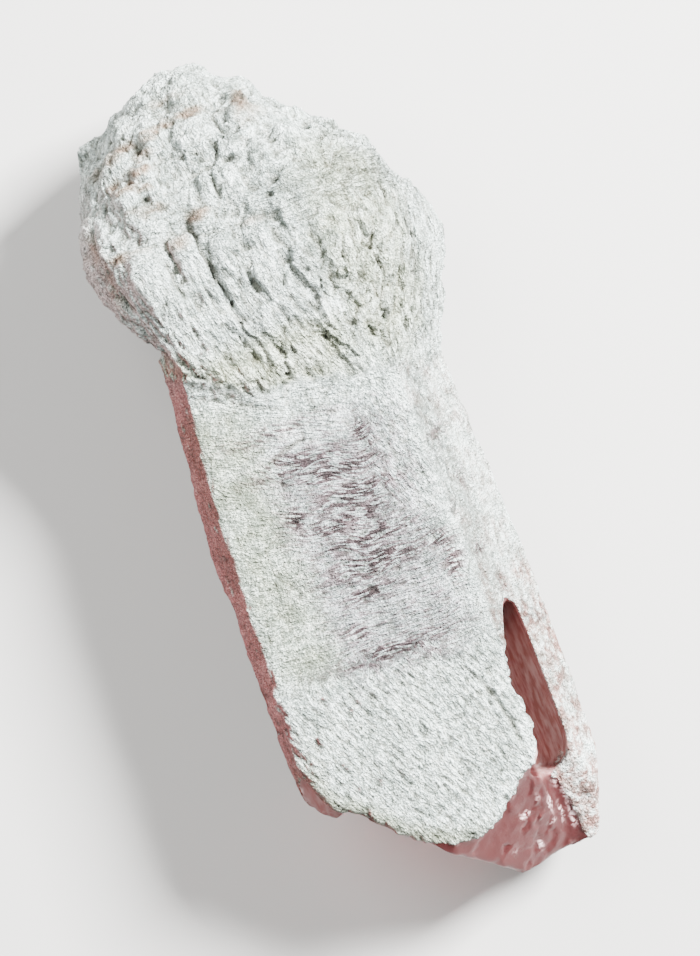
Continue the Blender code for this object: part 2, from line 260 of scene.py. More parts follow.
# The shaft's front face and its outer edges: y, left edge, left and right edge of the front face, right edge.
SHAFT = ((30.0, -16.2, -13.6, 9.4, 16.2), (10.0, -18.5, -16.0, 9.6, 16.4), (-6.0, -20.2, -17.4, 9.7, 16.6),
         (-9.5, -19.8, -17.6, 9.7, 16.8), (-20.0, -20.3, -18.0, 9.7, 17.4), (-42.0, -20.5, -18.3, 9.6, 16.8),
         (-60.0, -20.2, -18.0, 9.4, 16.2))
THICKNESS = 24.0
HEXAGON_TURN = math.radians(60.0)


def head_edge(x):
    """How far up the head's front edge lies at each x."""
    edge_x, edge_y = zip(*HEAD_EDGE)
    return np.interp(x, edge_x, edge_y)


def head_share(p):
    """1 on the head and 0 on the shaft."""
    x, y, z = p.T
    front = ramp(z, 9.0, 15.0)
    edge = head_edge(x) * front + HEAD_EDGE_BEHIND * (1.0 - front)
    wander = rough(p, (2.6, 2.6, 2.6), 41) * 0.9
    return ramp(y - edge + wander, -0.4, 1.6)


def fanned(p):
    """Points with the fan of the head's columns straightened, so that each column runs along y.

    Near FAN_X the columns spread apart, and further out they run side by side."""
    x, y, z = p.T
    reach_y, reach = zip(*FAN_REACH)
    travel = np.interp(y, reach_y, reach) * ramp(z, 8.0, 18.0)
    away = np.abs(x - FAN_X)
    outside = np.maximum(away - FAN_WITHIN, 0.0)
    in_fan = np.maximum(travel - outside / FAN_SLOPE, 0.0)
    spreading = np.minimum(away, FAN_WITHIN) * np.exp(-in_fan * FAN_SLOPE / FAN_WITHIN)
    start = spreading + np.maximum(outside - travel * FAN_SLOPE, 0.0)
    return np.stack((FAN_X + np.sign(x - FAN_X) * start, y, z), axis=1)


def depth_in_shaft(p):
    """How far each point lies below the nearest of the shaft's six grown faces."""
    x, y, z = p.T
    rows = np.array(sorted(SHAFT))
    left, front_left, front_right, right = (np.interp(y, rows[:, 0], rows[:, i]) for i in range(1, 5))
    slope = math.tan(HEXAGON_TURN)
    shorter = math.cos(HEXAGON_TURN)
    left_z = THICKNESS - (front_left - left) * slope
    right_z = THICKNESS - (right - front_right) * slope
    depths = (
        THICKNESS - z,
        z,
        ((x - left) * slope + left_z - z) * shorter,
        ((x - left) * slope + z - left_z) * shorter,
        ((right - x) * slope + right_z - z) * shorter,
        ((right - x) * slope + z - right_z) * shorter,
    )
    return np.minimum.reduce(depths)


def beyond_outline(p, outline):
    """How far each point lies outside a closed outline on the front, or, below 0, inside it."""
    x, y = p[:, 0], p[:, 1]
    distance = np.full(len(p), 1e3)
    inside = np.zeros(len(p), bool)
    for (x0, y0), (x1, y1) in zip(outline, outline[1:] + outline[:1]):
        run_x, run_y = x1 - x0, y1 - y0
        share = np.clip(((x - x0) * run_x + (y - y0) * run_y) / (run_x**2 + run_y**2), 0.0, 1.0)
        distance = np.minimum(distance, np.hypot(x - x0 - run_x * share, y - y0 - run_y * share))
        if run_y != 0.0:
            crossed = (y0 > y) != (y1 > y)
            inside ^= crossed & (x < x0 + run_x * (y - y0) / run_y)
    return np.where(inside, -distance, distance)


# --------------------------------------------------------------------------------------------------
# Relief of the crust

# The broken edge of the rind on the front, from the left side round to the cleft, and closed up the shaft.
RIND_EDGE = (
    (-17.9, -24.0), (-18.1, -35.6), (-16.4, -38.4), (-14.8, -38.8), (-12.3, -41.4), (-10.2, -43.7),
    (-7.4, -45.5), (-4.3, -47.0), (-1.2, -47.5), (1.4, -46.7), (3.4, -44.8), (5.2, -43.5),
    (6.4, -42.1), (8.2, -41.6), (9.1, -39.7), (9.7, -37.4), (9.1, -31.4), (9.5, -24.0),
)

# Columns that stand out on the front of the head:
# tip x, tip y, width, length, how far they stand out, and how tan their tips are.
FINGERS = (
    (-14.9, 34.5, 7.2, 14.0, 0.75, 0.5),
    (-9.3, 34.4, 3.4, 9.0, 0.80, 1.0),
    (-5.8, 36.6, 3.3, 6.5, 0.65, 0.9),
    (-3.7, 34.6, 1.9, 6.0, 0.50, 0.0),
    (-4.8, 32.8, 3.4, 6.0, 0.60, 0.1),
    (-0.3, 33.1, 3.4, 5.0, 0.60, 0.5),
    (-1.5, 29.6, 4.8, 4.6, 0.45, 0.0),
    (-3.9, 40.1, 2.0, 6.0, 0.55, 0.0),
    (-1.2, 40.8, 3.0, 7.0, 0.60, 0.0),
    (-4.0, 48.7, 7.4, 7.4, 0.70, 0.8),
    (-8.3, 48.1, 2.8, 5.0, 0.50, 1.0),
    (-13.5, 46.9, 4.2, 5.5, 0.50, 0.9),
    (-10.8, 44.1, 3.2, 4.6, 0.60, 1.0),
    (-13.6, 42.7, 4.4, 4.6, 0.60, 1.0),
    (-11.0, 41.7, 2.6, 3.0, 0.45, 0.9),
    (-12.5, 39.2, 5.0, 6.0, 0.55, 0.6),
    (-18.3, 41.0, 3.6, 9.0, 0.50, 0.3),
    (7.0, 42.8, 4.0, 7.0, 0.45, 0.0),
    (3.0, 42.2, 3.0, 6.0, 0.35, 0.0),
    (11.1, 43.4, 2.2, 6.0, 0.50, 0.0),
    (15.9, 37.3, 3.2, 8.0, 0.45, 0.0),
    (17.9, 33.6, 6.6, 15.0, 0.55, 0.0),
    (2.8, 47.2, 4.0, 6.0, 0.40, 0.3),
    (-16.0, 49.0, 3.6, 5.0, 0.35, 0.2),
    (-20.0, 36.5, 3.4, 8.0, 0.40, 0.4),
    (0.2, 52.6, 3.6, 4.5, 0.30, 0.1),
    (-5.6, 53.6, 3.8, 5.0, 0.30, 0.1),
)

# Grooves on the front: (x, y) to (x, y), half width and depth.
GROOVES = (
    (-19.3, 32.0, -17.5, 26.0, 0.45, 0.5),
    (-17.5, 26.0, -16.0, 20.0, 0.45, 0.6),
    (-11.6, 31.5, -11.0, 27.0, 0.4, 0.7),
    (-7.6, 34.5, -7.0, 29.5, 0.32, 0.7),
    (-7.0, 29.5, -6.0, 24.4, 0.42, 1.1),
    (-4.4, 30.5, -3.0, 29.0, 0.4, 0.6),
    (-3.2, 34.5, -2.8, 32.0, 0.3, 0.6),
    (-4.5, 41.0, -2.2, 41.2, 0.3, 0.7),
    (-1.4, 40.7, 0.2, 41.3, 0.3, 0.7),
    (-3.0, 40.5, -2.8, 37.0, 0.3, 0.5),
    (-0.2, 46.5, 0.5, 43.3, 0.3, 0.6),
    (1.4, 33.0, 2.6, 28.0, 0.35, 0.6),
    (14.3, 38.0, 14.2, 34.0, 0.3, 0.6),
    (14.6, 28.5, 13.8, 25.5, 0.4, 0.7),
    (14.6, 21.0, 11.0, 14.0, 0.5, 0.5),
    (9.9, 43.2, 10.4, 41.4, 0.35, 0.9),
    (15.5, 21.0, 17.0, 19.5, 0.4, 0.7),
    (17.0, 19.5, 19.4, 19.4, 0.35, 0.5),
    (4.8, 26.0, 4.8, 21.0, 0.3, 0.4),
    (-16.5, 41.5, -17.0, 37.5, 0.35, 0.5),
    (-13.5, 16.2, -12.0, 15.2, 0.4, 0.2),
    (-12.5, 15.4, -9.0, 13.4, 0.4, 0.3),
    (-9.0, 4.5, -4.0, 6.0, 0.26, 0.8),
    (-9.2, 4.4, -5.5, 3.0, 0.24, 0.35),
    (-10.0, 2.6, -7.0, 1.4, 0.2, 0.2),
    (4.5, -27.0, 6.0, -30.0, 0.22, 0.3),
    (6.0, -30.0, 7.0, -33.0, 0.26, 0.4),
    (7.0, -33.0, 7.8, -38.0, 0.26, 0.4),
    (-2.0, -40.0, -0.5, -42.5, 0.22, 0.3),
    (13.2, -17.8, 13.4, -21.8, 0.4, 0.5),
)
# Pits on the front: x, y, radius and depth.
PITS = (
    (-6.0, 24.1, 0.55, 1.3),
    (-11.2, 30.4, 0.7, 0.9),
    (-11.1, 39.9, 0.4, 0.7),
    (3.0, 35.1, 0.5, 1.0),
    (13.9, 31.1, 0.45, 0.8),
    (14.0, 27.0, 0.4, 0.7),
    (3.9, 44.8, 0.4, 0.6),
    (-8.3, -3.0, 0.5, 0.5),
    (-2.7, -14.5, 0.45, 0.5),
    (-3.9, -15.1, 0.35, 0.35),
    (-6.2, -19.1, 0.3, 0.3),
    (1.5, -10.6, 0.2, 0.25),
)


def groove_depth(p, x0, y0, x1, y1, half_width, depth):
    """A groove between two points on the front, which dies out at both ends."""
    x, y = p[:, 0] - x0, p[:, 1] - y0
    run_x, run_y = x1 - x0, y1 - y0
    length = math.hypot(run_x, run_y)
    share = np.clip((x * run_x + y * run_y) / length**2, 0.0, 1.0)
    away = np.hypot(x - run_x * share, y - run_y * share)
    return depth * np.exp(-((away / half_width) ** 2)) * (0.55 + 0.45 * np.sin(math.pi * share))


def hollows(p, bend):
    """Depth of the grooves and pits, whose courses wander with bend."""
    front = ramp(p[:, 2], 17.0, 20.0)
    total = np.zeros(len(p))
    moved = p + bend
    for groove in GROOVES:
        total = np.maximum(total, groove_depth(moved, *groove))
    for x, y, radius, depth in PITS:
        away = np.hypot(moved[:, 0] - x, moved[:, 1] - y)
        total = np.maximum(total, depth * np.exp(-((away / radius) ** 2)))
    return total * front


def grown(p, size, seed, raised, grooved, stepped, tilted=0.0):
    """Crystals grown side by side, which stand out by their own amounts.

    Each has a groove round it, rises to its tip and has a face that slants its own way."""
    border, chance, offset = cells(p, size, seed)
    groove = 1.0 - ramp(border, 0.0, 0.34)
    slant = (offset * DIRECTIONS[(chance * 255).astype(int)]).sum(axis=1)
    return raised * (chance - 0.5) * 2.0 - grooved * groove + stepped * offset[:, 1] + tilted * slant


def grooves(points, size, seed):
    """Rounded ridges side by side with sharp grooves between them, from about -0.5 to 1."""
    return np.abs(noise(points, size, seed)) * 2.2 - 0.5


def fingers(p, straight):
    """The relief of the columns that stand out, how far each point is on one, and the tan of their tips."""
    wobble = noise(p, (1.6, 1.6, 1.6), 28) * 0.34 + noise(p, (0.7, 0.7, 0.7), 29) * 0.16
    height = np.zeros(len(p))
    tan = np.zeros(len(p))
    front = ramp(p[:, 2], 15.0, 19.0)
    for tip_x, tip_y, width, length, proud, tanned in FINGERS:
        tip = fanned(np.array(((tip_x, tip_y, THICKNESS),)))[0]
        across = np.abs(straight[:, 0] - tip[0])
        down = tip_y - straight[:, 1] + wobble
        shoulder = np.clip(1.0 - down / (0.4 * width), 0.0, 1.0)
        half = width / 2.0 * np.sqrt(1.0 - 0.65 * shoulder**2)
        inside = np.minimum(half - across, down) + wobble * 0.6
        taper = np.clip(1.0 - down / length, 0.0, 1.0)
        taken = ramp(inside, -0.05, 0.28) * proud * (taper - 0.15)
        height = np.maximum(height, taken)
        tan = np.maximum(tan, tanned * ramp(inside, -0.1, 0.2) * ramp(down, 1.2, 0.1))
    return height * front, ramp(height, 0.05, 0.3) * front, tan * front


def head_relief(p):
    """Columns and crystals side by side up the head, and mossy lumps at its top."""
    x, y, z = p.T
    size = (3.5, 5.0, 3.5)
    warp = np.stack((noise(p, size, 3), noise(p, size, 4), noise(p, size, 5)), axis=1)
    straight = fanned(p)
    warped = straight + warp * np.array((0.25, 0.6, 0.25))
    ridges = grooves(warped, (1.1, 7.0, 1.1), 20) * 0.10 + grooves(warped, (0.7, 3.6, 0.7), 19) * 0.12
    blades = ridges + grown(warped, (1.3, 6.0, 1.3), 21, 0.09, 0.04, 0.28, 0.36)
    blades += grown(warped, (0.8, 3.0, 0.8), 22, 0.05, 0.03, 0.15, 0.20)
    lumps = grown(warped, (2.0, 3.0, 2.0), 23, 0.08, 0.02, 0.25, 0.34) + ridges * 0.4
    lumps += grown(p + warp * 0.3, (0.9, 1.1, 0.9), 24, 0.06, 0.03, 0.12, 0.18)
    lumps += rough(p, (1.3, 1.3, 1.3), 25) * 0.06
    front = ramp(z, 10.0, 18.0)
    mossy = ramp(y + noise(p, (5.0, 5.0, 5.0), 26) * 2.5, 27.0, 37.0) * front
    mossy += 0.35 * (1.0 - front)
    relief, on_finger, _ = fingers(p, straight)
    relief = relief * 0.8
    smooth_lobe = window(x, 14.5, 24.0, 1.0) * window(y, 20.0, 32.0, 2.0) * front
    smooth_foot = window(x, 9.0, 24.0, 1.5) * ramp(y, 22.0, 14.0) * front
    smooth_brink = window(x, 1.0, 10.0, 1.5) * ramp(y, 17.0, 12.5) * front
    smoothed = (0.1 * smooth_lobe, 0.1 * smooth_foot, 0.55 * smooth_brink, 0.35 * on_finger)
    boldness = 1.0 - np.maximum.reduce(smoothed)
    broad = noise(p, (6.0, 7.0, 6.0), 27) * 0.22
    fan = window(x, 3.0, 14.0, 1.5) * window(y, 10.0, 30.0, 2.0) * front
    narrow = grooves(warped, (0.5, 5.0, 1.2), 18) * 0.14
    narrow += grown(warped, (0.6, 4.0, 1.2), 17, 0.07, 0.05, 0.14, 0.20)
    blades = blades * (1.0 + 0.2 * fan) + narrow * fan
    boldness *= 1.0 + front * (1.1 * ramp(x, 7.0, 12.0) + 0.35 * ramp(y, 38.0, 44.0) * ramp(x, 10.0, 7.0))
    return (blades * (1.0 - mossy) + lumps * mossy) * boldness + broad + relief * 1.1 - 0.1


def flatten_below_head(p):
    """Lowers the crust just below the head's front edge towards the shaft's front face."""
    x, y, z = p.T
    above = y - head_edge(x) + rough(p, (1.8, 1.8, 1.8), 42) * 0.6
    steep = 0.5 + 0.15 * ramp(x, -6.0, -12.0)
    limit = THICKNESS + 0.05 + np.clip(above + 1.6, 0.0, None) * steep
    lowered = np.maximum(z - limit, 0.0) * ramp(x, 11.0, 7.5) * ramp(y, 1.0, 4.0)
    return np.stack((x, y, z - lowered), axis=1)


def shaft_relief(p):
    """Fine grain on the shaft, with streaks across its front, and slanting ripples at its foot and right."""
    x, y, z = p.T
    front = ramp(z, 21.5, 23.2)
    grain = rough(p, (1.1, 1.1, 1.1), 31, 2) * 0.07
    along = grown(p, (1.2, 3.4, 1.2), 32, 0.05, 0.06, 0.05, 0.12)
    along += (1.0 - front) * grown(p, (2.4, 3.4, 2.4), 57, 0.05, 0.04, 0.05, 0.14)
    middle = window(x, -11.0, 8.5, 2.0) * window(y, -23.0, 8.5, 2.0) * front
    tilt = noise(p, (9.0, 9.0, 9.0), 33) * 0.35
    across = np.stack((x, y + x * tilt * 0.3, z), axis=1)
    streaks = noise(across, (3.0, 0.62, 3.4), 34) * 0.15 + noise(across, (1.8, 0.42, 2.2), 35) * 0.09
    plate = ramp(y + x * 0.08 + noise(p, (4.0, 4.0, 4.0), 36) * 0.6, -22.6, -24.4) * front
    slanted = np.stack((x * 0.9 + y * 0.42, y * 0.9 - x * 0.42, z), axis=1)
    ripples = grooves(slanted, (0.85, 3.2, 2.0), 37) * 0.20 + grooves(slanted, (0.55, 1.6, 1.0), 38) * 0.11
    ripples += grown(slanted, (1.1, 2.6, 1.1), 30, 0.07, 0.05, 0.07, 0.08)
    rippled = 0.55 * window(x, 2.5, 9.6, 1.0) * window(y, -9.0, 13.0, 2.5) * front
    sides = (1.0 - front) * noise(p, (2.0, 6.0, 2.0), 39) * 0.12
    height = grain + along * (1.0 - plate) + streaks * middle + plate * (ripples + 0.16)
    return height + rippled * ripples + sides


def break_relief(p):
    """Curved, stepped fracture faces."""
    bent = p + rough(p, (4.0, 4.0, 4.0), 51, 2)[:, None] * 0.8
    _, chance, offset = cells(bent, (4.6, 4.6, 4.6), 52)
    facing = DIRECTIONS[(chance * 255).astype(int)]
    facets = (offset * facing).sum(axis=1) * 0.17
    splintered = ramp(p[:, 0], 2.0, 6.0)
    facets += grown(p, (1.5, 2.0, 1.5), 55, 0.04, 0.0, 0.0, 0.12) * splintered
    fine = noise(p, (0.9, 2.2, 0.9), 53) * 0.04
    return facets + noise(p, (7.0, 7.0, 7.0), 54) * 0.15 + fine - 0.25


def in_cleft(p):
    """1 on the floor and walls of the cleft beside the lip, and 0 elsewhere."""
    x, y, z = p.T
    return window(x, 8.4, 13.9, 0.3) * window(y, -44.0, -21.5, 1.0) * ramp(z, 22.9, 22.3)


def crusted(p):
    """How far a point is covered by crust: above 0.5 on the grown faces, and below it on the break."""
    x, y, z = p.T
    ragged = rough(p, (1.3, 1.3, 1.3), 61)
    thickness = 0.42 + 0.16 * ragged
    cover = ramp(depth_in_shaft(p), thickness + 0.25, thickness - 0.25)
    # Past the rind's broken edge the front is bare, and the edge itself is white for part of its depth.
    beyond = beyond_outline(p, RIND_EDGE) + ragged * 0.12
    bare = ramp(beyond, 0.05, 0.35) * window(x, -15.5, 10.5, 0.8) * ramp(y, -37.0, -38.5)
    bare *= ramp(z, 8.0, 10.0)
    rind = ramp(beyond, 0.5, 0.1) * ramp(z, THICKNESS - 1.7, THICKNESS - 1.0) * ramp(x, 10.2, 9.6)
    cover = np.maximum(cover * (1.0 - bare), rind)
    # A patch of crust on the break beside the lip, and the crust of the lip's end.
    patch_reach = np.hypot((x - 12.4) / 2.1, (y + 44.3) / 2.0) + ragged * 0.5
    cover = np.maximum(cover, ramp(patch_reach, 1.1, 0.9) * ramp(z, 13.0, 13.6))
    lip = ramp(x + ragged * 0.3 + (y + 47.0) * 0.10, 10.6, 11.2) * ramp(y, -44.4, -45.0) * ramp(z, 3.0, 6.0)
    cover = np.maximum(cover, lip)
    above_break = ramp(y, -19.0, -17.0)
    behind = ramp(z, 0.9, 0.3)
    return np.maximum.reduce((cover, above_break, behind))


def carve(piece):
    """Moves the skin's corners in and out to make the relief."""
    mesh = piece.data
    edges = edges_of(mesh)
    points = averaged(corners_of(mesh), edges, SOFTENING_PASSES)
    mesh.vertices.foreach_set("co", points.astype(np.float32).ravel())
    mesh.update()
    p = flatten_below_head(to_crystal(points))
    out = turned_to_crystal(*normals_of(mesh).T)
    head = head_share(p)
    crust = ramp(crusted(p), 0.3, 0.7)
    sideways = (noise(p, (1.8, 1.8, 1.8), 71), noise(p, (1.8, 1.8, 1.8), 72), np.zeros(len(p)))
    bend = np.stack(sideways, axis=1) * 0.35
    height = head_relief(p) * head + shaft_relief(p) * (1.0 - head)
    height = height * crust + break_relief(p) * (1.0 - crust) * (1.0 - 0.85 * in_cleft(p))
    height -= hollows(p, bend)
    cleft_rim = in_cleft(p) * ramp(p[:, 2], 14.0, 16.0)
    height *= 1.0 - 0.8 * cleft_rim
    moved = to_part(p + out * height[:, None])
    mesh.vertices.foreach_set("co", moved.astype(np.float32).ravel())
    mesh.update()


def thin_out(piece):
    """Merges small faces into fewer: evenly first, and then more of them on the back than on the front."""
    mesh = piece.data
    mesh.calc_loop_triangles()
    shares = ramp(normals_of(mesh)[:, 2], 0.25, -0.05)
    group = piece.vertex_groups.new(name="thinned")
    for step in range(THIN_STEPS + 1):
        chosen = np.flatnonzero(np.round(shares * THIN_STEPS).astype(int) == step)
        group.add(chosen.tolist(), step / THIN_STEPS, "REPLACE")
    evenly = piece.modifiers.new("evenly", "DECIMATE")
    evenly.use_collapse_triangulate = True
    evenly.ratio = min(TRIANGLES_FIRST / len(mesh.loop_triangles), 1.0)
    behind = piece.modifiers.new("behind", "DECIMATE")
    behind.use_collapse_triangulate = True
    behind.vertex_group = group.name
    behind.vertex_group_factor = BACK_PULL
    behind.ratio = TRIANGLES / TRIANGLES_FIRST
    apply_modifiers(piece)
    piece.vertex_groups.clear()
    points = corners_of(piece.data)
    points[:, 2] = np.maximum(points[:, 2], 0.0)
    piece.data.vertices.foreach_set("co", points.astype(np.float32).ravel())


# --------------------------------------------------------------------------------------------------
# Marks that the materials read at each corner of the mesh

# Tan stain on tips of the head: x, y, reach along x and along y, and strength.
STAINS = (
    (-8.4, 47.2, 0.9, 0.6, 1.0), (-6.3, 47.8, 1.5, 0.5, 1.0), (-3.0, 48.2, 2.0, 0.5, 0.8),
    (-14.4, 42.8, 0.9, 0.5, 1.0), (-13.2, 42.1, 1.4, 0.5, 1.0), (-10.9, 43.6, 1.4, 0.6, 1.0),
    (-12.0, 47.0, 2.0, 0.7, 0.7), (-13.6, 46.2, 1.0, 0.7, 0.6), (-9.8, 45.4, 1.2, 0.6, 0.6),
    (-11.4, 51.6, 1.8, 0.7, 0.5), (-5.0, 51.0, 2.2, 0.7, 0.4), (-17.1, 34.3, 1.4, 0.5, 0.9),
    (-18.9, 31.0, 0.7, 3.0, 0.4), (-19.4, 36.5, 0.8, 2.2, 0.4), (-16.5, 46.0, 1.4, 1.2, 0.6),
    (-9.3, 33.6, 1.4, 1.0, 0.6), (-6.0, 36.0, 1.4, 0.7, 0.7), (-11.0, 38.4, 2.0, 0.6, 0.5),
    (3.6, 47.6, 0.8, 2.0, 1.0), (4.4, 46.4, 1.6, 1.8, 0.5),
)
# Clusters of dark dashes on the shaft's front and right flank, in the same terms.
DASHES = (
    (-5.0, 3.2, 5.6, 1.5, 0.85), (-1.5, 0.7, 5.4, 1.2, 1.0), (-0.2, -2.4, 5.6, 1.8, 1.0),
    (-8.3, -3.0, 1.3, 1.1, 1.0), (-2.6, -5.3, 5.4, 1.3, 1.0), (-0.8, -8.1, 5.6, 1.4, 1.0),
    (-1.2, -11.3, 6.2, 1.7, 1.0), (7.2, -11.3, 1.9, 1.2, 0.9), (7.9, -14.6, 1.0, 2.4, 0.8),
    (-2.8, -14.5, 3.0, 1.1, 1.0), (-6.4, -18.8, 2.2, 1.2, 0.8), (-2.2, -22.2, 7.0, 1.0, 1.0),
    (1.0, -24.0, 4.0, 0.9, 0.4), (3.0, 3.6, 1.2, 2.6, 0.8), (-6.5, 8.0, 6.5, 0.7, 0.5),
    (13.0, -4.8, 0.5, 1.6, 0.8), (11.6, -14.4, 0.5, 0.5, 1.0), (13.4, -8.8, 0.7, 0.5, 0.7),
    (12.4, 1.0, 1.2, 0.6, 0.5), (13.3, -19.5, 0.5, 1.6, 0.9), (14.6, -30.0, 0.5, 0.9, 0.6),
    (15.2, -38.0, 0.6, 1.4, 0.6), (13.2, -34.5, 0.4, 1.6, 0.6),
)
# White veils of the clear foot and painted glints on it, in the same terms.
VEILS_AND_GLINTS = (
    (5.0, -47.8, 0.9, 0.26, 0.8), (5.6, -52.4, 0.35, 0.8, 0.8), (2.4, -51.6, 1.0, 0.4, 0.3),
    (8.6, -47.6, 0.24, 1.4, 0.7), (9.5, -49.6, 0.24, 1.4, 0.7), (8.0, -50.2, 0.5, 0.26, 0.7),
    (6.8, -42.8, 1.3, 0.35, 0.2), (4.4, -44.8, 1.3, 0.3, 0.2), (10.9, -47.2, 0.4, 1.8, 0.8),
    (10.8, -50.6, 0.5, 1.6, 0.8), (10.0, -45.6, 0.5, 0.6, 0.6), (7.3, -46.2, 0.24, 1.0, 0.4),
    (-17.2, -38.3, 1.6, 0.4, 0.3), (-19.9, -35.0, 0.3, 2.0, 0.3),
)
# How often corners are averaged to tell how deep each lies among those near it, and among wider ones.
NEAR_PASSES = 4
WIDE_PASSES = 24


def spots(p, places):
    """The strongest of a set of soft spots on the front at each point."""
    total = np.zeros(len(p))
    for x, y, reach_x, reach_y, strength in places:
        away = ((p[:, 0] - x) / reach_x) ** 2 + ((p[:, 1] - y) / reach_y) ** 2
        total = np.maximum(total, strength * np.exp(-away))
    return total


def put_mark(mesh, name, values):
    mark = mesh.attributes.new(name, "FLOAT", "POINT")
    mark.data.foreach_set("value", np.clip(values, 0.0, 1.0).astype(np.float32))


def put_place(mesh, name, places):
    mark = mesh.attributes.new(name, "FLOAT_VECTOR", "POINT")
    mark.data.foreach_set("vector", places.astype(np.float32).ravel())


def strand_places(p):
    """Where each point lies in the crust's grain: x runs across the strands, and y, slower, along them.

    The strands run up the head's columns, slant down the plate at the foot and cross the shaft between."""
    x, y, z = p.T
    straight = fanned(p)
    mossy = ramp(y, 30.0, 38.0)[:, None]
    in_fan = mossy * window(x, 5.0, 14.0, 2.5)[:, None]
    upper = straight * (1.0 - in_fan) + p * in_fan
    head = straight / np.array((0.75, 3.2, 0.75)) * (1.0 - mossy)
    head += upper / np.array((0.9, 1.7, 0.9)) * mossy
    droop = np.interp(y, (-24.0, -10.0, 5.0), (0.0, 0.12, 0.40))
    level = y - droop * np.sqrt((x - 2.0) ** 2 + 4.0)
    bend = noise(p, (6.0, 6.0, 6.0), 95) * 0.8
    shaft = np.stack(((level + bend) / 0.34, x / 1.9, z / 0.8), axis=1)
    plate = np.stack(((x * 0.9 + y * 0.42) / 0.62, (y * 0.9 - x * 0.42) / 1.4, z / 0.8), axis=1)
    on_head = (head_share(p) > 0.5)[:, None]
    wander = rough(p, (3.4, 3.4, 3.4), 96)
    on_plate = y + wander * 2.2 < -23.6 - x * 0.08
    on_right = window(x + wander * 1.5, 3.6, 11.0, 0.1) * window(y + wander * 3.0, -8.0, 14.0, 0.1) > 0.5
    slanting = (on_plate | on_right)[:, None] & ~on_head
    return np.where(on_head, head, np.where(slanting, plate, shaft))


class Areas:
    """The places on the crystal that several marks share, each from 0 to 1 at every point.

    wandering is noise, from about -1 to 1, that keeps their borders from running straight."""

    def __init__(self, p):
        x, y, z = p.T
        self.wandering = rough(p, (3.0, 3.0, 3.0), 81)
        self.front = ramp(z, 17.0, 20.0)
        self.head = head_share(p)
        self.shaft = 1.0 - self.head
        # Everywhere but the lip at the right of the foot.
        self.off_lip = 1.0 - window(x, 8.5, 20.0, 0.5) * ramp(y, -38.5, -40.5)
        # The right of the head, and a little of its top, where the crust's grain is boldest.
        right_of_head = ramp(x, 9.0, 13.0) * ramp(y, 9.0, 15.0)
        self.bold = self.head * (right_of_head + 0.2 * ramp(y, 38.0, 44.0) * ramp(x, 10.0, 6.0))
        # The middle of the shaft's front, and the plate below it.
        self.middle = window(x + self.wandering * 1.5, -9.5, 7.5, 3.5)
        self.middle *= window(y + self.wandering * 2.0, -24.0, 6.5, 3.0) * self.front
        self.plate = ramp(y, -23.0, -25.0) * self.front
        # A band inside the rind's broken edge on the left, and one above the head's front edge. Both are
        # painted shade: the first on the plate's lower-left edge, the second along the head's lower edge.
        inside = ramp(beyond_outline(p, RIND_EDGE), -2.6, -0.2)
        self.rim_shade = inside * ramp(y, -28.0, -36.0) * ramp(x, 3.0, -4.0)
        above = window(y - head_edge(x) + self.wandering, -0.5, 3.6, 1.6)
        self.brink_shade = above * ramp(x, 9.0, 3.0) * self.head * self.front


def sunk(mesh, passes):
    """How far each corner lies, in mm, below the average of those around it."""
    points = corners_of(mesh)
    return ((averaged(points, edges_of(mesh), passes) - points) * normals_of(mesh)).sum(axis=1) / MM


def mark_hollows(mesh, p, areas):
    """Marks how deep each corner lies among those near it and among wider ones: 0.5 where it's level. The
    crust is darkened by these marks: painted shade, with some dirt, in its hollows, grooves, pits and
    recesses.
    """
    x, y, _ = p.T
    bold = areas.off_lip * (1.0 + 0.5 * areas.bold)
    outer_wall = ramp(x, -17.5, -20.0) * areas.head
    right_brink = window(x, 2.0, 10.0, 1.5) * window(y, 7.0, 15.0, 1.5)
    near = sunk(mesh, NEAR_PASSES) * bold * (1.0 - 0.5 * outer_wall) * (1.0 - 0.6 * right_brink)
    cracked = np.minimum(hollows(p, 0.0) * 2.2, 1.0) * areas.shaft
    put_mark(mesh, "hollow_shade_and_dirt", 0.5 + np.maximum(near * 5.0, 0.5 * cracked))
    wide = averaged(sunk(mesh, WIDE_PASSES), edges_of(mesh), 2) * bold
    put_mark(mesh, "recess_shade_and_dirt", 0.5 + np.maximum.reduce((wide * 1.6, 0.3 * areas.rim_shade, 0.16 * areas.brink_shade)))


def mark_grain(mesh, p, areas):
    """Marks where the crust's strands run, how bold they are and how grey its grain is."""
    x, y, _ = p.T
    put_place(mesh, "strand", strand_places(p))
    right_flank = window(x, 13.5, 24.0, 1.5) * ramp(y, 34.0, 28.0)
    on_head = areas.head * (0.5 + 0.45 * areas.bold) * (1.0 - 0.3 * right_flank)
    stranded = np.maximum.reduce((on_head, areas.plate * 0.6, areas.middle * 0.6))
    put_mark(mesh, "stranded", np.maximum(stranded, 0.32) * areas.off_lip)
    shaft_left = window(x, -17.6, -9.5, 1.5) * window(y, -22.0, 12.0, 3.0)
    on_shaft = np.maximum.reduce((0.9 * shaft_left, 0.10 * areas.middle, 0.8 * ramp(x, 9.5, 10.5)))
    head_middle = window(x + areas.wandering, 1.0, 9.0, 1.5) * window(y, 25.0, 41.0, 3.0)
    # The grey inside the rind's broken edge is painted shade.
    grey = np.maximum.reduce((on_shaft * areas.shaft, 0.6 * head_middle * areas.head, 0.7 * areas.rim_shade))
    put_mark(mesh, "grey", np.where(areas.off_lip < 0.5, 0.0, 0.25 + grey) * areas.front)


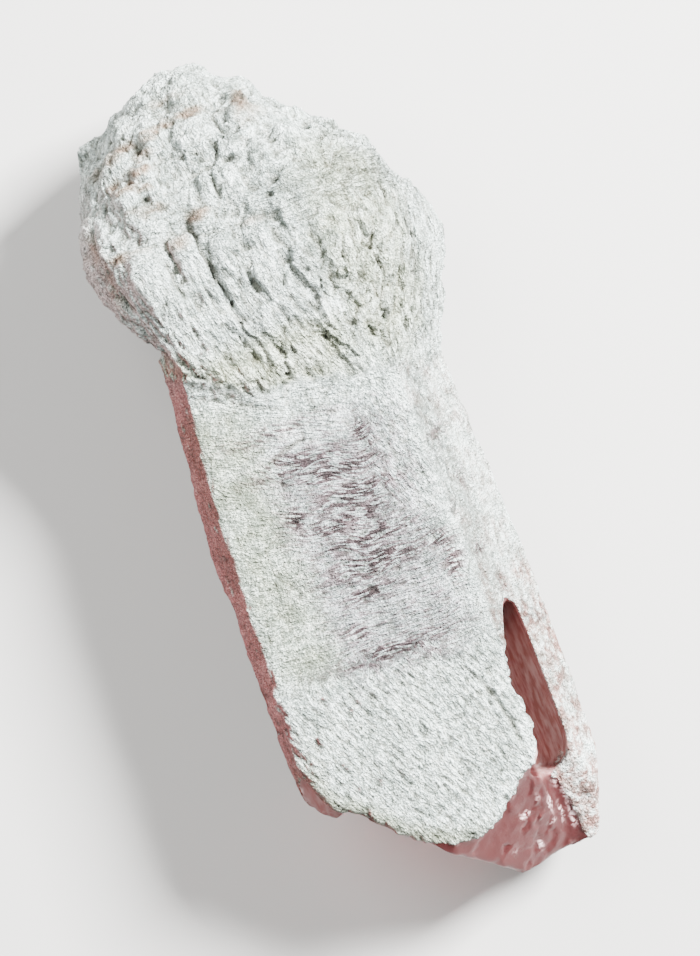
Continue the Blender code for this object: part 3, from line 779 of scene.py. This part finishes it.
def mark_stains(mesh, p, areas):
    """Marks the tan tips, the shaft's lilac and dashed middle, where the crust is olive or blushed, and the
    painted red bounce light on its shaded faces that look left.
    """
    x, y, z = p.T
    _, _, tan = fingers(p, fanned(p))
    bent = p + rough(p, (1.5, 1.5, 1.5), 83)[:, None] * 0.5
    stain = np.maximum(spots(bent, STAINS) * areas.front, 0.5 * tan)
    put_mark(mesh, "stain", stain * (1.0 + 0.5 * areas.wandering))
    put_mark(mesh, "lilac", areas.middle * areas.shaft)
    dashed = spots(p + areas.wandering[:, None] * 0.5, DASHES) * areas.shaft * areas.front
    put_mark(mesh, "dashed", np.maximum(dashed, 0.08 * areas.middle))
    blush = ramp(x, 9.5, 10.5) * (0.25 + 0.75 * ramp(y, -14.0, -26.0)) * areas.shaft
    put_mark(mesh, "blush", blush * (0.6 + 0.8 * areas.wandering) * (1.0 + 0.6 * ramp(y, -40.0, -46.0)))
    head_right = window(x + areas.wandering * 2.5, 7.0, 17.0, 4.0) * window(y, 12.0, 39.0, 4.0)
    head_foot = window(x, -13.0, 6.0, 3.0) * window(y, 13.0, 19.0, 2.0)
    # The olive above the head's front edge and the grey-olive inside the rind's edge are painted shade; the
    # rest is the crust's own olive tint.
    olive = np.maximum.reduce((0.5 * head_right, 0.6 * head_foot, 0.5 * areas.brink_shade))
    shaft_left = window(x, -17.6, -9.5, 2.5) * window(y, -22.0, 13.0, 3.0)
    dull = 0.5 * np.maximum(shaft_left, areas.rim_shade)
    put_mark(mesh, "olive", np.maximum(olive * areas.head, dull * areas.shaft) * areas.front)
    # Painted red bounce light and shade on the faces that look left, stronger higher up, and on the head's
    # far left wall.
    facing_left = ramp(normals_of(mesh)[:, 0], -0.45, -0.75) * ramp(x, -5.0, -12.0)
    red_bounce = facing_left * (0.3 + 0.7 * ramp(z, 6.0, 20.0)) * (0.3 + 0.7 * ramp(y, 24.0, 14.0))
    wall = 0.12 * areas.head * ramp(x, -18.0, -20.5)
    put_mark(mesh, "red_bounce", np.maximum(red_bounce * ramp(y, 50.0, 30.0), wall))


def mark_break(mesh, p):
    """Marks the white veils, with painted glints among them, and the frosted faces of the broken quartz."""
    x, y, z = p.T
    bent = p + rough(p, (0.7, 0.7, 0.7), 91)[:, None] * 0.3
    put_mark(mesh, "veil_and_glint", spots(bent, VEILS_AND_GLINTS) * ramp(z, 1.0, 4.0))
    corner = 0.5 * window(x, -22.0, -16.0, 0.5) * window(y, -40.5, -32.5, 0.5)
    frosted = in_cleft(p) * (1.0 - 0.4 * ramp(y, -29.5, -24.0))
    put_mark(mesh, "frost", np.maximum(frosted, corner))


def split_materials(piece, coat, clear):
    """Marks the mesh, and gives each face the crust's or the clear quartz's material."""
    mesh = piece.data
    p = to_crystal(corners_of(mesh))
    areas = Areas(p)
    for mark in (mark_hollows, mark_grain, mark_stains):
        mark(mesh, p, areas)
    mark_break(mesh, p)
    corners = np.empty(len(mesh.loops), np.int32)
    mesh.loops.foreach_get("vertex_index", corners)
    face_cover = crusted(p)[corners.reshape(-1, 3)].mean(axis=1)
    mesh.materials.clear()
    mesh.materials.append(coat)
    mesh.materials.append(clear)
    mesh.polygons.foreach_set("material_index", (face_cover < 0.5).astype(np.int32))
    mesh.shade_smooth()


# --------------------------------------------------------------------------------------------------
# Materials


def new_material(name):
    material = bpy.data.materials.new(name)
    material.use_nodes = True
    return material, material.node_tree, material.node_tree.nodes["Principled BSDF"]


def fill(tree, sockets, values):
    """Links a socket to its value where that is another socket, and sets it directly where it is constant."""
    for socket, value in zip(sockets, values):
        if isinstance(value, bpy.types.NodeSocket):
            tree.links.new(value, socket)
        else:
            socket.default_value = value


def add_node(tree, kind, **inputs):
    node = tree.nodes.new(kind)
    fill(tree, [node.inputs[name] for name in inputs], inputs.values())
    return node


def mark_value(tree, name):
    node = tree.nodes.new("ShaderNodeAttribute")
    node.attribute_name = name
    return node.outputs["Fac"]


# Where a Mix node keeps its share and its two colours, and the colour that comes out.
MIX_COLOUR_INPUTS = (0, 6, 7)
MIX_COLOUR_OUTPUT = 2


def blend_colour(tree, share, first, second, how="MIX"):
    node = tree.nodes.new("ShaderNodeMix")
    node.data_type = "RGBA"
    node.blend_type = how
    node.clamp_factor = True
    fill(tree, [node.inputs[i] for i in MIX_COLOUR_INPUTS], (share, first, second))
    return node.outputs[MIX_COLOUR_OUTPUT]


def maths(tree, how, first, second):
    node = tree.nodes.new("ShaderNodeMath")
    node.operation = how
    fill(tree, node.inputs, (first, second))
    return node.outputs[0]


def spread(tree, value, low, high, to_low=0.0, to_high=1.0):
    """Maps low..high to to_low..to_high, clamped."""
    node = tree.nodes.new("ShaderNodeMapRange")
    fill(tree, node.inputs, (value, low, high, to_low, to_high))
    return node.outputs[0]


def place(tree, stretch=(1.0, 1.0, 1.0)):
    """The place on the object in metres, stretched along its axes."""
    coordinates = tree.nodes.new("ShaderNodeTexCoord")
    mapping = add_node(tree, "ShaderNodeMapping", Vector=coordinates.outputs["Object"], Scale=stretch)
    return mapping.outputs["Vector"]


def strand_place(tree):
    """The place in the crust's grain that strand_places works out for each corner."""
    node = tree.nodes.new("ShaderNodeAttribute")
    node.attribute_name = "strand"
    return node.outputs["Vector"]


def noise_value(tree, size_mm, detail, roughness=0.5, stretch=(1.0, 1.0, 1.0)):
    """Noise whose lumps have this size."""
    node = add_node(tree, "ShaderNodeTexNoise", Vector=place(tree, stretch), Scale=1.0 / (size_mm * MM),
                    Detail=detail, Roughness=roughness)
    return node.outputs["Fac"]


def strand_value(tree, detail, roughness):
    """Noise along the crust's strands."""
    node = add_node(tree, "ShaderNodeTexNoise", Vector=strand_place(tree), Scale=1.0, Detail=detail,
                    Roughness=roughness)
    return node.outputs["Fac"]


def crystal_value(tree, scale):
    """Distance from the middle of each of the small crystals that lie side by side along the strands."""
    node = add_node(tree, "ShaderNodeTexVoronoi", Vector=strand_place(tree), Scale=scale, Detail=2.0,
                    Roughness=0.65)
    node.normalize = True
    return node.outputs["Distance"]


def grain_value(tree, size_mm):
    """Distance from the middle of each grain."""
    node = add_node(tree, "ShaderNodeTexVoronoi", Vector=place(tree), Scale=1.0 / (size_mm * MM))
    return node.outputs["Distance"]


# The crust's white, the tones that shade it, each as the share of the light that it leaves, and its surface.
# The furrow tone is painted shade, the tone for hollows is painted shade with some dirt, and the bounce tone
# is painted red light on shaded faces.
COAT_WHITE = (0.85, 0.945, 0.915, 1.0)
GRAIN_TONE = (0.17, 0.19, 0.18, 1.0)
FURROW_SHADE_TONE = (0.22, 0.225, 0.205, 1.0)
HOLLOW_SHADE_AND_DIRT_TONE = (0.20, 0.18, 0.15, 1.0)
OLIVE_TONE = (0.74, 0.69, 0.46, 1.0)
BLUSH_TONE = (0.46, 0.22, 0.19, 1.0)
TAN_TONE = (0.40, 0.245, 0.18, 1.0)
LILAC_TONE = (0.90, 0.87, 0.93, 1.0)
DASH_TONE = (0.042, 0.019, 0.021, 1.0)
RED_BOUNCE_TONE = (0.48, 0.115, 0.115, 1.0)
COAT_ROUGHNESS = 0.62
COAT_GLOSS = 0.35
COAT_BUMP = 0.9


def shaded(tree, colour, tone, amount):
    """A colour shaded by a tone, in even steps of brightness as the amount goes from 0 to 1."""
    power = add_node(tree, "ShaderNodeGamma", Color=tone, Gamma=amount)
    return blend_colour(tree, 1.0, colour, power.outputs["Color"], "MULTIPLY")


def coat_material():
    """Chalky white crust of tiny crystals, toned by its grain and stains, with painted shade in its grooves,
    between its crystals and in its hollows.
    """
    material, tree, shader = new_material("quartz_crust")
    stranded = mark_value(tree, "stranded")
    speckle = noise_value(tree, 0.25, 2.0, 0.7)
    mottle = noise_value(tree, 1.1, 3.0, 0.6)
    patches = noise_value(tree, 3.6, 3.0, 0.6)
    strands = strand_value(tree, 3.0, 0.62)
    crystals = crystal_value(tree, 1.05)
    tone = maths(tree, "ADD", maths(tree, "MULTIPLY", speckle, 0.54), maths(tree, "MULTIPLY", mottle, 0.22))
    tone = maths(tree, "ADD", tone, maths(tree, "MULTIPLY", patches, 0.24))
    greyed = maths(tree, "ADD", tone, maths(tree, "MULTIPLY", mark_value(tree, "grey"), 0.055))
    # Painted red bounce light and shade on the faces that look left, with less grain there.
    red_bounce = mark_value(tree, "red_bounce")
    strength = maths(tree, "MULTIPLY", spread(tree, red_bounce, 0.0, 1.0, 1.0, 0.5),
                     spread(tree, stranded, 0.3, 0.6, 0.72, 0.58))
    grained = maths(tree, "MULTIPLY", spread(tree, greyed, 0.463, 0.578), strength)
    colour = shaded(tree, COAT_WHITE, GRAIN_TONE, grained)
    # Painted shade in the furrows between the strands, and in the gaps between the small crystals.
    furrow_shade = maths(tree, "MULTIPLY", stranded, spread(tree, strands, 0.50, 0.32, 0.0, 1.0))
    colour = shaded(tree, colour, FURROW_SHADE_TONE, furrow_shade)
    between = maths(tree, "MULTIPLY", stranded, spread(tree, crystals, 0.22, 0.46, 0.0, 0.55))
    colour = shaded(tree, colour, FURROW_SHADE_TONE, between)
    # Painted shade, with some dirt, darkening the crust in its hollows and recesses.
    for name, most in (("hollow_shade_and_dirt", 0.34), ("recess_shade_and_dirt", 0.25)):
        depth = spread(tree, mark_value(tree, name), 0.53, 0.95, 0.0, most)
        colour = shaded(tree, colour, HOLLOW_SHADE_AND_DIRT_TONE, depth)
    olive = maths(tree, "MULTIPLY", mark_value(tree, "olive"), spread(tree, patches, 0.38, 0.60, 0.5, 1.0))
    colour = shaded(tree, colour, OLIVE_TONE, olive)
    blush = maths(tree, "MULTIPLY", mark_value(tree, "blush"), spread(tree, mottle, 0.40, 0.60, 0.1, 1.0))
    colour = shaded(tree, colour, BLUSH_TONE, blush)
    lilac = mark_value(tree, "lilac")
    colour = shaded(tree, colour, LILAC_TONE, lilac)
    lines = maths(tree, "MULTIPLY", lilac, spread(tree, strands, 0.52, 0.64, 0.0, 0.35))
    streaks = strand_value(tree, 1.0, 0.5)
    dashes = maths(tree, "MULTIPLY", mark_value(tree, "dashed"), spread(tree, streaks, 0.45, 0.53, 0.0, 1.0))
    dashes = maths(tree, "MULTIPLY", dashes, spread(tree, mottle, 0.36, 0.50, 0.6, 1.0))
    colour = shaded(tree, colour, DASH_TONE, maths(tree, "MAXIMUM", lines, dashes))
    colour = shaded(tree, colour, TAN_TONE, spread(tree, mark_value(tree, "stain"), 0.05, 0.85))
    # Painted red bounce light, mottled by the grain's tone.
    red_bounce_amount = maths(tree, "MULTIPLY", red_bounce, spread(tree, tone, 0.42, 0.56, 0.8, 1.0))
    colour = shaded(tree, colour, RED_BOUNCE_TONE, red_bounce_amount)
    tree.links.new(colour, shader.inputs["Base Color"])
    shader.inputs["Roughness"].default_value = COAT_ROUGHNESS
    shader.inputs["Specular IOR Level"].default_value = COAT_GLOSS
    height = maths(tree, "MULTIPLY", grain_value(tree, 0.48), spread(tree, stranded, 0.3, 0.6, -0.6, -0.3))
    height = maths(tree, "SUBTRACT", height, maths(tree, "MULTIPLY", speckle, 1.1))
    furrow_depth = maths(tree, "MULTIPLY", stranded, 1.8)
    height = maths(tree, "ADD", height, maths(tree, "MULTIPLY", strands, furrow_depth))
    crystal_depth = maths(tree, "MULTIPLY", stranded, 5.0)
    height = maths(tree, "SUBTRACT", height, maths(tree, "MULTIPLY", crystals, crystal_depth))
    bump = add_node(tree, "ShaderNodeBump", Height=height, Distance=COAT_BUMP * MM, Strength=1.0)
    tree.links.new(bump.outputs["Normal"], shader.inputs["Normal"])
    return material


# The broken quartz: its colours, how far light goes through it, and how smooth its faces are.
# The rose of these tints is partly the quartz's own colour and partly painted red bounce light.
CLEAR_TINT = (0.33, 0.085, 0.087, 1.0)
FROST_TINT = (0.31, 0.155, 0.135, 1.0)
VEIL_AND_GLINT_WHITE = (0.86, 0.76, 0.75, 1.0)
# Reflections tinted red: a painted reflection of red surroundings.
RED_REFLECTION_TINT = (1.0, 0.55, 0.55, 1.0)
CLEAR_SHARE = 0.92
FROST_SHARE = 0.30
ABSORPTION_TINT = (0.80, 0.42, 0.41, 1.0)
ABSORPTION_PER_METRE = 25.0
QUARTZ_IOR = 1.544
CLEAR_ROUGHNESS = 0.36
VEIL_ROUGHNESS = 0.45
FROST_ROUGHNESS_MORE = 0.4
CLEAR_GLOSS = 0.28
CLEAR_BUMP = 0.3


def clear_material():
    """Clear quartz with white veils and painted glints, seen through its broken faces, and frosted on the
    floor of the cleft.
    """
    material, tree, shader = new_material("clear_quartz")
    torn = spread(tree, noise_value(tree, 0.4, 3.0), 0.42, 0.54)
    # White veils, with painted glints that stand in for highlights.
    veil_and_glint = maths(tree, "MULTIPLY", mark_value(tree, "veil_and_glint"), torn)
    frost = mark_value(tree, "frost")
    streaks = noise_value(tree, 0.5, 3.0, 0.6, (1.0, 0.2, 1.0))
    frosted = blend_colour(tree, spread(tree, streaks, 0.40, 0.62, 0.0, 0.35), FROST_TINT, VEIL_AND_GLINT_WHITE)
    colour = blend_colour(tree, frost, CLEAR_TINT, frosted)
    colour = blend_colour(tree, veil_and_glint, colour, VEIL_AND_GLINT_WHITE)
    tree.links.new(colour, shader.inputs["Base Color"])
    share = spread(tree, frost, 0.0, 1.0, CLEAR_SHARE, FROST_SHARE)
    tree.links.new(maths(tree, "MULTIPLY", share, spread(tree, veil_and_glint, 0.1, 0.7, 1.0, 0.1)),
                   shader.inputs["Transmission Weight"])
    roughness = maths(tree, "ADD", spread(tree, veil_and_glint, 0.0, 0.7, CLEAR_ROUGHNESS, VEIL_ROUGHNESS),
                      maths(tree, "MULTIPLY", frost, FROST_ROUGHNESS_MORE))
    tree.links.new(roughness, shader.inputs["Roughness"])
    shader.inputs["IOR"].default_value = QUARTZ_IOR
    shader.inputs["Specular IOR Level"].default_value = CLEAR_GLOSS
    # Painted red reflection.
    shader.inputs["Specular Tint"].default_value = RED_REFLECTION_TINT
    ripples = noise_value(tree, 1.6, 3.0, 0.55)
    bump = add_node(tree, "ShaderNodeBump", Height=ripples, Distance=CLEAR_BUMP * MM, Strength=0.2)
    tree.links.new(bump.outputs["Normal"], shader.inputs["Normal"])
    absorb = add_node(tree, "ShaderNodeVolumeAbsorption", Color=ABSORPTION_TINT, Density=ABSORPTION_PER_METRE)
    tree.links.new(absorb.outputs["Volume"], tree.nodes["Material Output"].inputs["Volume"])
    return material


FLOOR_COLOUR = (0.36, 0.353, 0.342, 1.0)
FLOOR_ROUGHNESS = 0.8


def floor_material():
    material, _, shader = new_material("pale_floor")
    shader.inputs["Base Color"].default_value = FLOOR_COLOUR
    shader.inputs["Roughness"].default_value = FLOOR_ROUGHNESS
    return material


# --------------------------------------------------------------------------------------------------
# Floor, light and camera

# In metres: half the floor's width, and where the camera hangs, looking straight down.
FLOOR_HALF = 1.5
CAMERA_HEIGHT = 0.450
AIM = (-0.00052, -0.00077)
# The crystal's head leans to the upper left of the view by this much.
VIEW_TURN = math.radians(21.0)
VIEW_UP = Vector((math.sin(VIEW_TURN), math.cos(VIEW_TURN), 0.0))
VIEW_RIGHT = Vector((math.cos(VIEW_TURN), -math.sin(VIEW_TURN), 0.0))
# The camera's sensor and lens in mm, and how near it sees, in metres.
SENSOR = 36.0
LENS = 130.7
NEAREST_SEEN = 0.01
# Lights: right and up in the view, height and width in metres, and watts.
LIGHTS = {
    "key": (0.42, 0.34, 0.46, 0.20, 76.0),
    "fill": (-0.45, 0.25, 0.60, 0.60, 15.0),
}
WORLD_STRENGTH = 0.46


def add_floor():
    corners = [(-FLOOR_HALF, -FLOOR_HALF, 0.0), (FLOOR_HALF, -FLOOR_HALF, 0.0),
               (FLOOR_HALF, FLOOR_HALF, 0.0), (-FLOOR_HALF, FLOOR_HALF, 0.0)]
    mesh = bpy.data.meshes.new("floor")
    mesh.from_pydata(corners, [], [(0, 1, 2, 3)])
    mesh.materials.append(floor_material())
    floor = linked("floor", mesh)


def add_light(name, right, up, height, size, watts):
    """A square soft light that looks at the crystal, placed by the view's own right and up."""
    data = bpy.data.lights.new(name, "AREA")
    data.shape = "SQUARE"
    data.size = size
    data.energy = watts
    lamp = linked(name, data)
    lamp.location = VIEW_RIGHT * right + VIEW_UP * up + Vector((0.0, 0.0, height))
    lamp.rotation_euler = (-lamp.location).to_track_quat("-Z", "Y").to_euler()


def add_world():
    world = bpy.data.worlds.new("studio")
    world.use_nodes = True
    background = world.node_tree.nodes["Background"]
    background.inputs["Color"].default_value = (1.0, 1.0, 1.0, 1.0)
    background.inputs["Strength"].default_value = WORLD_STRENGTH
    bpy.context.scene.world = world


def add_camera():
    data = bpy.data.cameras.new("camera")
    data.sensor_width = SENSOR
    data.lens = LENS
    data.clip_start = NEAREST_SEEN
    camera = linked("camera", data)
    camera.location = (*AIM, CAMERA_HEIGHT)
    camera.rotation_euler = (0.0, 0.0, -VIEW_TURN)
    bpy.context.scene.camera = camera


def main():
    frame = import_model()
    piece = even_skin(frame["nodes"][NODE])
    carve(piece)
    thin_out(piece)
    split_materials(piece, coat_material(), clear_material())
    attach(piece, "root")
    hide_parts(NODE)
    add_floor()
    for name, setting in LIGHTS.items():
        add_light(name, *setting)
    add_world()
    add_camera()


main()
